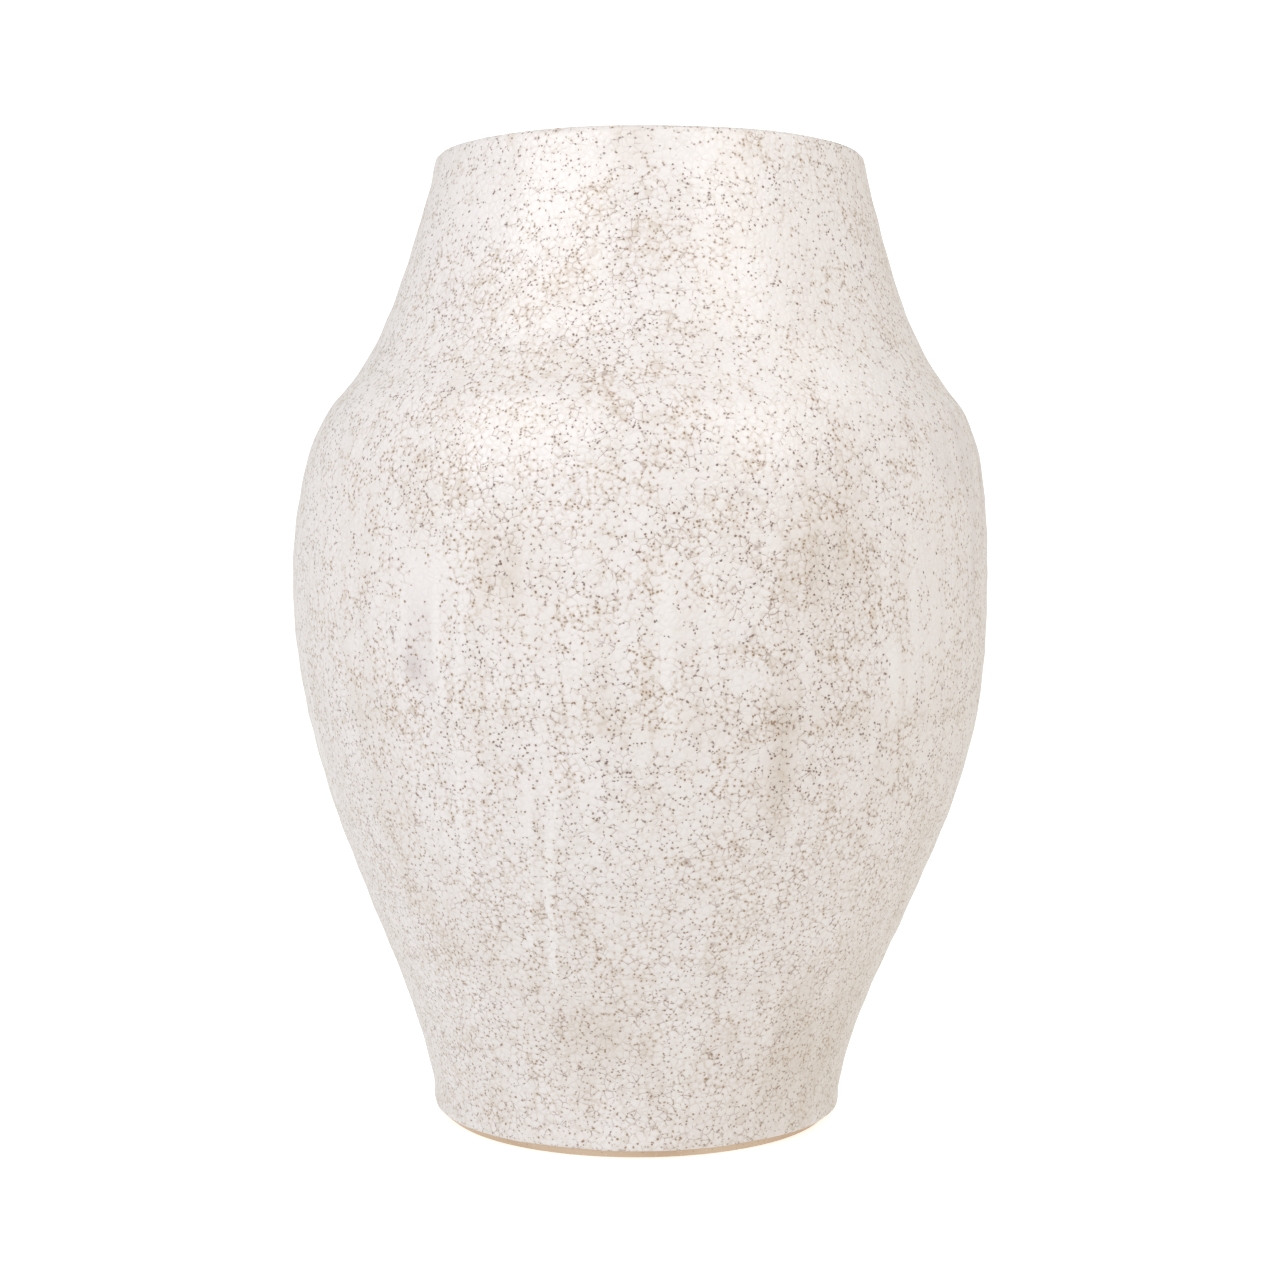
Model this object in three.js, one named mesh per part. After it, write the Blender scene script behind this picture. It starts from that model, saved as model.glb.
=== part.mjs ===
// A wheel-thrown stoneware vase: a foot ring, a floor slab and three thrown wall sections, luted together
// with slip in V joints, under an outer coat of glaze and a glaze lining.
// Millimetres, +Z up, the origin at the centre of the ground plane. Each piece is turned about +Z.
import * as THREE from "three";

// The glazed outside, from the ground up. The outline is a polygon whose corners are all rounded, and the
// flank, between the waist and the belly, takes up the height that the other stretches leave.
const HEIGHT = 420; // ground to the crown of the lip
const FOOT_RADIUS = 89.5; // where the glaze ends, just above the bare foot
const WAIST_RADIUS = 89;
const WAIST_HEIGHT = 28.5;
const BELLY_RADIUS = 152; // the widest part
const BELLY_RISE = 127.5; // between the belly's lower and upper corners
const SHOULDER_RISE = 38.5; // from the belly's upper corner to the corner of the neck
const NECK_RADIUS = 117;
const NECK_RISE = 77.5; // from the neck's corner to the lip's
const LIP_RADIUS = 94;
const LIP_RISE = 8.5; // from the lip's corner to the crown, where the mouth turns upright

// Walls and coats, measured square to the surface.
const WALL_AT_FOOT = 10;
const WALL_AT_LIP = 6.4;
const OUTER_GLAZE = 0.9;
const LINER_GLAZE = 0.7;
const LIP_OVERLAP = 26; // how far the outer glaze runs down inside the mouth
const SEAT_GAP = 0.3; // between pieces that touch

// Foot and floor.
const BARE_FOOT = 3.8; // height of the unglazed band
const FOOT_BEVEL = 4.5; // how far the band leans in towards the ground
const FOOT_RING_HEIGHT = 7;
const FOOT_RING_WIDTH = 14;
const FOOT_INNER_BEVEL = 1.5;
const FLOOR_THICKNESS = 11;
const TOE_FILLET = 14; // rounding inside, where the wall meets the floor

// Joints between the clay sections.
const BELLY_JOINT_HEIGHT = 178;
const SLIP = 0.9; // thickness of the slip in a joint
const TONGUE = 2.6; // depth and half width of the V, so its faces stand at 45 degrees
const JOINT_GAP = SEAT_GAP * Math.SQRT2; // measured upwards, to leave the seat gap on those faces

// Fineness of the facets.
const SEGMENTS = 40;
const CURVE_DIVISIONS = 3;
const ROUND_STEP = 30; // degrees
const LEAST_STEP = 6; // a curve's own levels keep this far from a joint's
const READING_DIVISIONS = 400; // to a curve, for reading radii off the outline

const CLAY = { color: 0xcdb18f, roughness: 0.85, metalness: 0 };
const SLIP_CLAY = { color: 0xbb9c79, roughness: 0.9, metalness: 0 };
const OUTER_COAT = { color: 0xe9e4dd, roughness: 0.28, metalness: 0 };
const LINER_COAT = { color: 0xece8e1, roughness: 0.25, metalness: 0 };

const at = (radius, height) => new THREE.Vector2(radius, height);

// Outline

const lipRound = (WALL_AT_LIP + 2 * (OUTER_GLAZE + SEAT_GAP)) / 2;
const lipCentre = at(LIP_RADIUS - lipRound, HEIGHT - lipRound);

function outlinePath() {
  const lipCorner = HEIGHT - LIP_RISE;
  const neckCorner = lipCorner - NECK_RISE;
  const bellyTop = neckCorner - SHOULDER_RISE;
  const corners = [
    at(WAIST_RADIUS, WAIST_HEIGHT),
    at(BELLY_RADIUS, bellyTop - BELLY_RISE),
    at(BELLY_RADIUS, bellyTop),
    at(NECK_RADIUS, neckCorner),
    at(LIP_RADIUS, lipCorner),
  ];
  const path = new THREE.Path().moveTo(FOOT_RADIUS, BARE_FOOT);
  corners.forEach((corner, i) => {
    const next = corners[i + 1];
    const end = next ? corner.clone().lerp(next, 0.5) : at(LIP_RADIUS, lipCentre.y);
    path.quadraticCurveTo(corner.x, corner.y, end.x, end.y);
  });
  return path;
}

const outline = outlinePath();
const fineOutline = outline.getPoints(READING_DIVISIONS);
// The neck stands on the shoulder where the outline turns from rounding out to hollowing in.
const shoulderJointHeight = outline.curves[2].v2.y;

// Radius of the surface that lies depth(height) under the glazed outside.
function radiusAt(height, depth) {
  const above = fineOutline.findIndex((p) => p.y > height);
  const i = above > 0 ? above : fineOutline.length - 1;
  const [low, high] = [fineOutline[i - 1], fineOutline[i]];
  const slope = (high.x - low.x) / (high.y - low.y);
  return low.x + slope * (height - low.y) - depth(height) * Math.hypot(1, slope);
}

const wallAt = (height) =>
  THREE.MathUtils.lerp(WALL_AT_FOOT, WALL_AT_LIP, height / lipCentre.y);
const glazeFace = () => 0;
const glazeBack = () => OUTER_GLAZE;
const clayFace = () => OUTER_GLAZE + SEAT_GAP;
const clayBack = (height) => clayFace() + wallAt(height);
const coatOnBack = (height) => clayBack(height) + SEAT_GAP;
const overlapFace = (height) => coatOnBack(height) + OUTER_GLAZE;
const linerFace = (height) => coatOnBack(height) + LINER_GLAZE;

// Heights of the edges of the pieces

const footSlipBottom = FOOT_RING_HEIGHT + SEAT_GAP;
const slabBottom = footSlipBottom + SLIP + SEAT_GAP;
const jointSpan = 2 * JOINT_GAP + SLIP;

// A joint is named by its lower edge, and mid is the radius that its V is centred on.
const jointAt = (low) => ({
  low,
  high: low + jointSpan,
  mid: (radiusAt(low, clayFace) + radiusAt(low, clayBack)) / 2,
});
const floorJoint = jointAt(slabBottom + FLOOR_THICKNESS);
const bellyJoint = jointAt(BELLY_JOINT_HEIGHT - jointSpan / 2);
const shoulderJoint = jointAt(shoulderJointHeight - jointSpan / 2);
const joints = [floorJoint, bellyJoint, shoulderJoint];

const toe = at(radiusAt(floorJoint.high + TOE_FILLET, clayBack) - TOE_FILLET, floorJoint.high + TOE_FILLET);
const overlapEdge = HEIGHT - LIP_OVERLAP;
const linerEdge = overlapEdge - SEAT_GAP;

// Every surface turns at the same heights, which keeps the gaps between neighbours even.
const edges = [
  BARE_FOOT,
  FOOT_RING_HEIGHT,
  slabBottom,
  toe.y,
  ...joints.flatMap((joint) => [joint.low, joint.high]),
  linerEdge,
  overlapEdge,
  lipCentre.y,
];
const levels = [
  ...edges,
  ...outline
    .getPoints(CURVE_DIVISIONS)
    .map((p) => p.y)
    .filter((height) => edges.every((edge) => Math.abs(edge - height) > LEAST_STEP)),
].sort((a, b) => a - b);

// Profile stretches, each as a list of points

const side = (low, high, depth) =>
  levels
    .filter((height) => height >= low && height <= high)
    .map((height) => at(radiusAt(height, depth), height));

// The rounding at the toe or at the lip brings the end point of the wall beside it.
const sideAboveToe = (high, depth) => side(toe.y, high, depth).slice(1);
const sideBelowLip = (low, depth) => side(low, lipCentre.y, depth).slice(0, -1);

// The V across a joint, from the outside inwards, with its flats at a height.
const tongue = (joint, height) => [
  at(joint.mid + TONGUE, height),
  at(joint.mid, height - TONGUE),
  at(joint.mid - TONGUE, height),
];

// Part of a circle, from one angle to another, in degrees from the outward radius.
function round(centre, radius, from, to) {
  const steps = Math.abs(to - from) / ROUND_STEP;
  return Array.from({ length: steps + 1 }, (_, i) => {
    const angle = THREE.MathUtils.degToRad(THREE.MathUtils.lerp(from, to, i / steps));
    return at(centre.x + radius * Math.cos(angle), centre.y + radius * Math.sin(angle));
  });
}

// The rounding inside the wall's toe, from the wall down to the floor, with its back to the clay.
const toeRound = (thickness) => round(toe, TOE_FILLET - thickness, 0, -90);

// Turns a profile, listed anticlockwise with the axis on its left, about +Z.
function turned(name, finish, profile) {
  const closed = profile[0].x === 0 ? profile : [...profile, profile[0].clone()];
  const geometry = new THREE.LatheGeometry(closed, SEGMENTS).rotateX(Math.PI / 2);
  const mesh = new THREE.Mesh(geometry, new THREE.MeshStandardMaterial(finish));
  mesh.name = name;
  return mesh;
}

// Clay

function footRing() {
  const outer = radiusAt(BARE_FOOT, clayFace);
  const inner = outer - FOOT_RING_WIDTH;
  return turned("foot_ring", CLAY, [
    at(outer - FOOT_BEVEL, 0),
    ...side(BARE_FOOT, FOOT_RING_HEIGHT, clayFace),
    at(inner, FOOT_RING_HEIGHT),
    at(inner, FOOT_INNER_BEVEL),
    at(inner + FOOT_INNER_BEVEL, 0),
  ]);
}

// The middle of the floor stands up inside the wall's toe and is level with it.
function floorSlab() {
  const raised = toe.x - SEAT_GAP;
  return turned("floor_slab", CLAY, [
    at(0, slabBottom),
    ...side(slabBottom, floorJoint.low, clayFace),
    ...tongue(floorJoint, floorJoint.low),
    at(raised, floorJoint.low),
    at(raised, floorJoint.high),
    at(0, floorJoint.high),
  ]);
}

function lowerWall() {
  return turned("lower_wall", CLAY, [
    ...tongue(floorJoint, floorJoint.high).reverse(),
    ...side(floorJoint.high, bellyJoint.low, clayFace),
    ...tongue(bellyJoint, bellyJoint.low),
    ...sideAboveToe(bellyJoint.low, clayBack).reverse(),
    ...toeRound(0),
  ]);
}

function bellyWall() {
  return turned("belly_wall", CLAY, [
    ...tongue(bellyJoint, bellyJoint.high).reverse(),
    ...side(bellyJoint.high, shoulderJoint.low, clayFace),
    ...tongue(shoulderJoint, shoulderJoint.low),
    ...side(bellyJoint.high, shoulderJoint.low, clayBack).reverse(),
  ]);
}

function neckWall() {
  return turned("neck_wall", CLAY, [
    ...tongue(shoulderJoint, shoulderJoint.high).reverse(),
    ...sideBelowLip(shoulderJoint.high, clayFace),
    ...round(lipCentre, WALL_AT_LIP / 2, 0, 180),
    ...sideBelowLip(shoulderJoint.high, clayBack).reverse(),
  ]);
}

// Slip

// The slip in a V joint lies between its two edges and keeps a gap to both.
function jointSlip(name, joint, innerRadius) {
  const low = joint.low + JOINT_GAP;
  const high = low + SLIP;
  return turned(name, SLIP_CLAY, [
    at(innerRadius ?? radiusAt(low, clayBack), low),
    ...tongue(joint, low).reverse(),
    at(radiusAt(low, clayFace), low),
    at(radiusAt(high, clayFace), high),
    ...tongue(joint, high),
    at(innerRadius ?? radiusAt(high, clayBack), high),
  ]);
}

function footSlip() {
  const outer = radiusAt(FOOT_RING_HEIGHT, clayFace);
  const inner = radiusAt(BARE_FOOT, clayFace) - FOOT_RING_WIDTH;
  const top = footSlipBottom + SLIP;
  return turned("foot_joint_slip", SLIP_CLAY, [
    at(inner, footSlipBottom),
    at(outer, footSlipBottom),
    at(radiusAt(slabBottom, clayFace), top),
    at(inner, top),
  ]);
}

// Glaze

// The outer coat ends in a bevel at the foot, rolls over the lip and runs a little way down inside.
function outerGlaze() {
  return turned("outer_glaze", OUTER_COAT, [
    at(radiusAt(BARE_FOOT, glazeBack), BARE_FOOT),
    at(radiusAt(BARE_FOOT + OUTER_GLAZE, glazeFace), BARE_FOOT + OUTER_GLAZE),
    ...sideBelowLip(FOOT_RING_HEIGHT, glazeFace),
    ...round(lipCentre, lipRound, 0, 180),
    ...sideBelowLip(overlapEdge, overlapFace).reverse(),
    ...sideBelowLip(overlapEdge, coatOnBack),
    ...round(lipCentre, lipRound - OUTER_GLAZE, 180, 0),
    ...sideBelowLip(FOOT_RING_HEIGHT, glazeBack).reverse(),
  ]);
}

// The lining covers the floor, the toe and the wall, up to the lower edge of the outer coat.
function linerGlaze() {
  const floor = floorJoint.high + SEAT_GAP;
  return turned("liner_glaze", LINER_COAT, [
    at(0, floor),
    ...toeRound(SEAT_GAP).reverse(),
    ...sideAboveToe(linerEdge, coatOnBack),
    ...sideAboveToe(linerEdge, linerFace).reverse(),
    ...toeRound(SEAT_GAP + LINER_GLAZE),
    at(0, floor + LINER_GLAZE),
  ]);
}

const vase = new THREE.Group();
vase.add(
  footRing(),
  footSlip(),
  floorSlab(),
  jointSlip("floor_joint_slip", floorJoint, toe.x),
  lowerWall(),
  jointSlip("belly_joint_slip", bellyJoint),
  bellyWall(),
  jointSlip("shoulder_joint_slip", shoulderJoint),
  neckWall(),
  outerGlaze(),
  linerGlaze(),
);

export default vase;
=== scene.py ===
# %% [markdown]
# # A stoneware vase with a crackled white glaze
# The vase was thrown on the wheel in three sections, joined with slip, turned a foot, and glazed white
# inside and out. The sizes are all settled in the packed frame, so the first step is to load it. What this
# script adds is what hands and fire do: soft throwing rings, an axis that wanders a little, glaze that
# runs, crackles and lets the iron of the clay show through.

# %% Load the frame
import math
import random

import bpy
import numpy as np
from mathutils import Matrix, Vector, noise


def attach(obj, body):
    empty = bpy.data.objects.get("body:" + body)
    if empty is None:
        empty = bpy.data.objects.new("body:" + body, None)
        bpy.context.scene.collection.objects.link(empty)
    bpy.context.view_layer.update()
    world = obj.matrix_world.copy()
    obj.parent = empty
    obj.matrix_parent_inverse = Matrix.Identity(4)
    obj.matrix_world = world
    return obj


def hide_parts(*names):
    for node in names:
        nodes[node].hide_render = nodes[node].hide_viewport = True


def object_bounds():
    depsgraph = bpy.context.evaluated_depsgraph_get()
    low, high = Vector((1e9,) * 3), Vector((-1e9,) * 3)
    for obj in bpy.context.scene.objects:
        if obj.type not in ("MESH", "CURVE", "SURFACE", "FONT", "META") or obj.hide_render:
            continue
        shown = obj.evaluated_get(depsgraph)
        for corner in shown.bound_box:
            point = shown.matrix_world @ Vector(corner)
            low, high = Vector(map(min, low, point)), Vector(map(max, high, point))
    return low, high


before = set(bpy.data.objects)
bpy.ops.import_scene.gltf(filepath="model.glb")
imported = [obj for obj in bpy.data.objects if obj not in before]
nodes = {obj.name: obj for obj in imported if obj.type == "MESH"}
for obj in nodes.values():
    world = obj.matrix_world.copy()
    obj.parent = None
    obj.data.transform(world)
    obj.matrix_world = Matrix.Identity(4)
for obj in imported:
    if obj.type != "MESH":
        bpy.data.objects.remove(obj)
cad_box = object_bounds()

MM = 0.001
print("the frame's pieces:", ", ".join(sorted(nodes)))

# %% [markdown]
# ## The camera
# A portrait lens stands about a metre away, two thirds up the vase and tipped down a little. It sees the
# lip edge-on from just below, so the mouth's far side stays hidden, and it sees the foot from just above. A
# Track To constraint could aim it, but a place and an angle that are written down give the same view every
# time, and can be corrected by a hair.

# %% Place the camera
CAMERA_DISTANCE = 1.022
CAMERA_HEIGHT = 0.268
CAMERA_TIP = math.radians(3.31)
LENS = 64.97
SENSOR = 36.0

bpy.ops.object.camera_add(location=(0, -CAMERA_DISTANCE, CAMERA_HEIGHT))
camera = bpy.context.object
camera.name = "portrait_camera"
camera.rotation_euler = (math.pi / 2 - CAMERA_TIP, 0, 0)
camera.data.lens = LENS
camera.data.sensor_width = SENSOR
bpy.context.scene.camera = camera
print("the camera stands", CAMERA_DISTANCE, "m away and", CAMERA_HEIGHT, "m up")

# %% [markdown]
# ## Reading a section off the frame
# Every piece was turned on one axis, so a piece is known once half of its cut face is known. The sizes
# could be typed in again, but they would drift from the frame's, so they are read off it. A copy of the CAD
# mesh has its loose triangles merged, and everything off the half-plane y = 0 is deleted. What is left is
# the profile, a chain of edges.


# %% Cut a piece open
MERGE = 1e-6


def alone(piece):
    """Selects one object and nothing else."""
    bpy.ops.object.select_all(action="DESELECT")
    piece.select_set(True)
    bpy.context.view_layer.objects.active = piece


def cut_open(node):
    """The points of a CAD piece's profile as (radius, height), and the numbers of each one's neighbours."""
    alone(nodes[node])
    bpy.ops.object.duplicate()
    cut = bpy.context.object
    bpy.ops.object.mode_set(mode="EDIT")
    bpy.ops.mesh.select_mode(type="VERT")
    bpy.ops.mesh.select_all(action="SELECT")
    bpy.ops.mesh.remove_doubles(threshold=MERGE)
    bpy.ops.mesh.select_all(action="DESELECT")
    bpy.ops.object.mode_set(mode="OBJECT")
    for vertex in cut.data.vertices:
        vertex.select = abs(vertex.co.y) > MERGE or vertex.co.x < -MERGE
    bpy.ops.object.mode_set(mode="EDIT")
    bpy.ops.mesh.delete(type="VERT")
    bpy.ops.object.mode_set(mode="OBJECT")
    points = [(v.co.x, v.co.z) for v in cut.data.vertices]
    beside = {i: [] for i in range(len(points))}
    for edge in cut.data.edges:
        a, b = edge.vertices
        beside[a].append(b)
        beside[b].append(a)
    copy = cut.data
    bpy.data.objects.remove(cut)
    bpy.data.meshes.remove(copy)
    return points, beside


print("the lower wall's cut face has", len(cut_open("lower_wall")[0]), "points")

# %% [markdown]
# The cut leaves the points in no order, and a spin needs them in a row. Sorting them by height would mix up
# the wall's two faces, so the chain is walked from neighbour to neighbour, from its lowest point, outwards
# first.


# %% Walk round the cut
def section(node):
    """The profile of a CAD piece, as (radius, height) points in order."""
    points, beside = cut_open(node)
    ends = [i for i in beside if len(beside[i]) == 1] or list(beside)
    here = min(ends, key=lambda i: (points[i][1], points[i][0]))
    chain, step = [here], max(beside[here], key=lambda i: points[i][0])
    while step is not None:
        chain.append(step)
        step = next((i for i in beside[step] if i not in chain), None)
    return np.array([points[i] for i in chain])


for node in ("outer_glaze", "liner_glaze", "foot_ring"):
    print(node, "has", len(section(node)), "points round its section")

# %% [markdown]
# ## Rounding the section off
# The frame is faceted. A Subdivision Surface modifier could round it, but it would shrink the walls and
# soften the joints too. So a smooth curve is drawn through the same points, with a tangent at each that
# weighs both neighbours, the way automatic curve handles do. Where the section turns sharply, as at a
# joint, the corner stays sharp. The curve is then read every few millimetres, which gives even rows of
# faces when it is spun.


# %% Draw a smooth curve through a section
CORNER = math.radians(35)


def smooth(points, spacing, closed):
    """Evenly spaced points along a smooth curve through a section. spacing is in metres."""
    n = len(points)
    before = np.roll(points, 1, axis=0)
    after = np.roll(points, -1, axis=0)
    back, ahead = points - before, after - points
    back_length = np.linalg.norm(back, axis=1)[:, None]
    ahead_length = np.linalg.norm(ahead, axis=1)[:, None]
    tangent = back / back_length * ahead_length + ahead / ahead_length * back_length
    tangent /= back_length + ahead_length
    turn = np.arccos(np.clip((back * ahead).sum(1) / (back_length * ahead_length)[:, 0], -1, 1))
    sharp = turn > CORNER
    if not closed:
        sharp[0] = sharp[-1] = True
    out = []
    for i in range(n if closed else n - 1):
        j = (i + 1) % n
        chord = points[j] - points[i]
        length = np.linalg.norm(chord)
        start = chord if sharp[i] else tangent[i] * length
        end = chord if sharp[j] else tangent[j] * length
        for t in np.arange(0, 1, 1 / max(1, round(length / spacing))):
            out.append(
                points[i] * (1 + 2 * t) * (1 - t) ** 2
                + start * t * (1 - t) ** 2
                + points[j] * t * t * (3 - 2 * t)
                - end * t * t * (1 - t)
            )
    if not closed:
        out.append(points[-1])
    return np.array(out)


print("the foot ring's section gets", len(smooth(section("foot_ring"), 2 * MM, True)), "points at 2 mm")

# %% [markdown]
# ## Turning
# A ring of points is laid on the profile and spun once round the axis, which is what the wheel does. A
# Screw modifier would make the same shape. The spin operator is used because it leaves a plain mesh, whose
# points can be pushed about straight away. Doubles are merged where the spin closes and at the poles, and
# the normals are made to point outwards.


# %% Spin a profile
def turned(name, profile, steps):
    """A solid of revolution. A profile that starts on the axis ends there too."""
    bpy.ops.object.select_all(action="DESELECT")
    bpy.ops.mesh.primitive_circle_add(vertices=len(profile), radius=0.1)
    piece = bpy.context.object
    piece.name = piece.data.name = name
    for vertex, (radius, height) in zip(piece.data.vertices, profile):
        vertex.co = (radius, 0, height)
        vertex.select = False
    on_axis = bool(profile[0][0] < MERGE)
    for edge in piece.data.edges:
        edge.select = on_axis and set(edge.vertices) == {0, len(profile) - 1}
    bpy.ops.object.mode_set(mode="EDIT")
    if on_axis:
        bpy.ops.mesh.select_mode(type="EDGE")
        bpy.ops.mesh.delete(type="EDGE")
        bpy.ops.mesh.select_mode(type="VERT")
    bpy.ops.mesh.select_all(action="SELECT")
    bpy.ops.mesh.spin(steps=steps, angle=math.tau, center=(0, 0, 0), axis=(0, 0, 1))
    bpy.ops.mesh.select_all(action="SELECT")
    bpy.ops.mesh.remove_doubles(threshold=MERGE)
    bpy.ops.mesh.normals_make_consistent(inside=False)
    bpy.ops.object.mode_set(mode="OBJECT")
    bpy.ops.object.shade_smooth_by_angle(angle=CORNER)
    print(name, "is spun in", steps, "steps and has", len(piece.data.polygons), "faces")
    return piece


# %% [markdown]
# ## The hand of the thrower
# No thrown vase is perfectly round or upright. This one's foot and rim are level, but the axis between them
# wanders by a few millimetres, and the wall swells and dips by less than half of one. A Lattice modifier
# could pull it about by hand. A formula is used because it moves every layer by the same amount, so the
# clay, the slip in the seams and the glaze stay nested.


# %% Let the axis wander
LEAN_HEIGHTS = np.array([0, 160, 235, 340, 420]) * MM
LEAN = np.array([-1.5, 1.5, 0.0, 3.2, 4.4]) * MM
WOBBLE = 0.35 * MM
WOBBLE_SIZE = 70 * MM
STEADY_HEIGHT = 40 * MM
STEADY_RADIUS = 60 * MM


def ease(t):
    """0 up to 0, 1 from 1, and a soft step between."""
    t = np.clip(t, 0, 1)
    return t * t * (3 - 2 * t)


def grain(places, size):
    """Smooth noise, from -1 to 1, with lumps of about a size in metres."""
    return np.array([noise.noise(Vector(place) / size) for place in places])


def places_of(piece):
    """Every point of a piece, one row each."""
    flat = np.empty(len(piece.data.vertices) * 3)
    piece.data.vertices.foreach_get("co", flat)
    return flat.reshape(-1, 3)


def put(piece, places):
    """Moves every point of a piece to a new place."""
    piece.data.vertices.foreach_set("co", places.ravel())
    piece.data.update()


def outward(places):
    """The level direction away from the axis, at each place."""
    away = places * (1, 1, 0)
    length = np.linalg.norm(away, axis=1)[:, None]
    return away / np.maximum(length, MERGE)


def wander(piece):
    """Moves every point as the thrower's hand did."""
    places = places_of(piece)
    height = places[:, 2]
    swell = grain(places, WOBBLE_SIZE) * WOBBLE * ease(height / STEADY_HEIGHT)
    swell *= ease(np.hypot(places[:, 0], places[:, 1]) / STEADY_RADIUS)
    moved = places + outward(places) * swell[:, None]
    knot = np.clip(np.searchsorted(LEAN_HEIGHTS, height) - 1, 0, len(LEAN) - 2)
    along = (height - LEAN_HEIGHTS[knot]) / (LEAN_HEIGHTS[knot + 1] - LEAN_HEIGHTS[knot])
    moved[:, 0] += LEAN[knot] + (LEAN[knot + 1] - LEAN[knot]) * ease(along)
    put(piece, moved)


print("the axis wanders by up to %.1f mm and the wall by %.2f mm" % (abs(LEAN).max() / MM, WOBBLE / MM))

# %% [markdown]
# ## Clay walls and seams
# Three thrown sections make the body, with a floor slab pushed up into the toe and a foot ring under it.
# Each V joint between them is filled with slip. All of it lies behind glaze, and one thick solid would look
# the same from outside. It is made piece by piece because it is really there, so a cut through the vase
# shows the same layers as the real one.

# %% Turn the clay
WALL_SPACING = 5 * MM
WALL_STEPS = 128

clay = {}
for node in ("lower_wall", "belly_wall", "neck_wall"):
    profile = smooth(section(node), WALL_SPACING, True)
    clay[node] = turned(node.replace("wall", "clay"), profile, WALL_STEPS)
    wander(clay[node])

# %% Fill the seams
slip = {}
for node in ("foot_joint_slip", "floor_joint_slip", "belly_joint_slip", "shoulder_joint_slip"):
    profile = smooth(section(node), WALL_SPACING, True)
    slip[node] = turned(node.replace("joint_slip", "seam"), profile, WALL_STEPS)
    wander(slip[node])

# %% [markdown]
# ## The foot
# The foot ring is trimmed upside down once the clay is leather hard. The tool leaves faint ripples round
# the ring and a spiral of shallow grooves under the floor, and the potter's thumb takes the sharpness off
# every edge. A bump map could hint at them, but the edges would stay sharp in outline, so they are bevelled
# and the ripples are pushed into the mesh. The face that the vase stands on stays flat.

# %% Trim the foot ring
ARRIS = 0.7 * MM
RIPPLE = 0.09 * MM
RIPPLE_SIZE = 9 * MM
RING_STEPS = 240


def eased(piece, width):
    """Rounds a piece's sharp edges."""
    alone(piece)
    bpy.ops.object.mode_set(mode="EDIT")
    bpy.ops.mesh.select_all(action="DESELECT")
    bpy.ops.mesh.edges_select_sharp(sharpness=CORNER)
    bpy.ops.mesh.bevel(offset=width, segments=3, affect="EDGES")
    bpy.ops.mesh.select_all(action="SELECT")
    bpy.ops.mesh.normals_make_consistent(inside=False)
    bpy.ops.object.mode_set(mode="OBJECT")
    bpy.ops.object.shade_smooth_by_angle(angle=CORNER)


foot_ring = turned("trimmed_foot_ring", smooth(section("foot_ring"), 2 * MM, True), RING_STEPS)
eased(foot_ring, ARRIS)
places = places_of(foot_ring)
ripple = grain(places, RIPPLE_SIZE) * RIPPLE * ease(places[:, 2] / MM)
put(foot_ring, places + outward(places) * ripple[:, None])
wander(foot_ring)
print("with its edges eased, the foot ring has", len(foot_ring.data.polygons), "faces")

# %% Cut the spiral under the floor
GROOVE = 0.22 * MM
GROOVE_PITCH = 6.5 * MM
GROOVE_START = 12 * MM
GROOVE_END = 70 * MM
FLOOR_SPACING = 1.6 * MM
FLOOR_STEPS = 160

floor_slab = turned("trimmed_floor", smooth(section("floor_slab"), FLOOR_SPACING, False), FLOOR_STEPS)
places = places_of(floor_slab)
radius = np.hypot(places[:, 0], places[:, 1])
angle = np.arctan2(places[:, 1], places[:, 0])
groove = np.sin((radius / GROOVE_PITCH + angle / math.tau) * math.tau)
groove *= ease(radius / GROOVE_START) * ease((GROOVE_END - radius) / (4 * MM))
under = places[:, 2] < places[:, 2].min() + MM
places[:, 2] += GROOVE * groove * under
put(floor_slab, places)
wander(floor_slab)
print("the spiral under the floor is", GROOVE / MM, "mm deep")

# %% [markdown]
# ## The liner
# Inside, the glaze is poured in and poured out, so it is thin, glossy and even, and it follows the spiral
# ridges that the thrower's fingers left. They are wider apart and deeper than outside, where a rib smoothed
# the wall. A ridge could be swept along a spiral curve and joined on. A sine of height and angle together
# is simpler: it winds into a spiral by itself, and it can be faded out at both ends.

# %% Pour the liner
LINER_SPACING = 3.4 * MM
FINGER_RIDGE = 0.3 * MM
FINGER_PITCH = 15 * MM
FINGERS_FROM = 38 * MM
FINGERS_TO = 385 * MM
LINER_STEPS = 160

liner = turned("poured_liner", smooth(section("liner_glaze"), LINER_SPACING, False), LINER_STEPS)
places = places_of(liner)
radius = np.hypot(places[:, 0], places[:, 1])
angle = np.arctan2(places[:, 1], places[:, 0])
height = places[:, 2]
on_wall = ease((height - FINGERS_FROM) / (15 * MM)) * ease((FINGERS_TO - height) / (20 * MM))
ridge = np.sin((height / FINGER_PITCH + angle / math.tau) * math.tau) - 1
ridge += grain(places, 40 * MM) * 0.5
put(liner, places + outward(places) * (FINGER_RIDGE * ridge * on_wall)[:, None])
wander(liner)
print("the finger ridges are", 2 * FINGER_RIDGE / MM, "mm deep and", FINGER_PITCH / MM, "mm apart")

# %% [markdown]
# ## The outer glaze
# The outer coat is the piece that is seen. Its face gets close rows of points, and its hidden back gets
# few. The face is then shaped the way the glaze lies: over soft throwing rings, pulled into a thick roll
# above the bare foot, drawn thin over the lip, pebbled all over, and raised where white runs slid down
# before the kiln set them. A Displace modifier could raise them from a texture. Numbers kept at each point
# are used instead, because the finish can read the same ones and be white where the glaze is thick.

# %% Turn the glaze coat
FACE_SPACING = 2.9 * MM
BACK_SPACING = 14 * MM
GLAZE_STEPS = 440
FACE_END = 394 * MM

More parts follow.
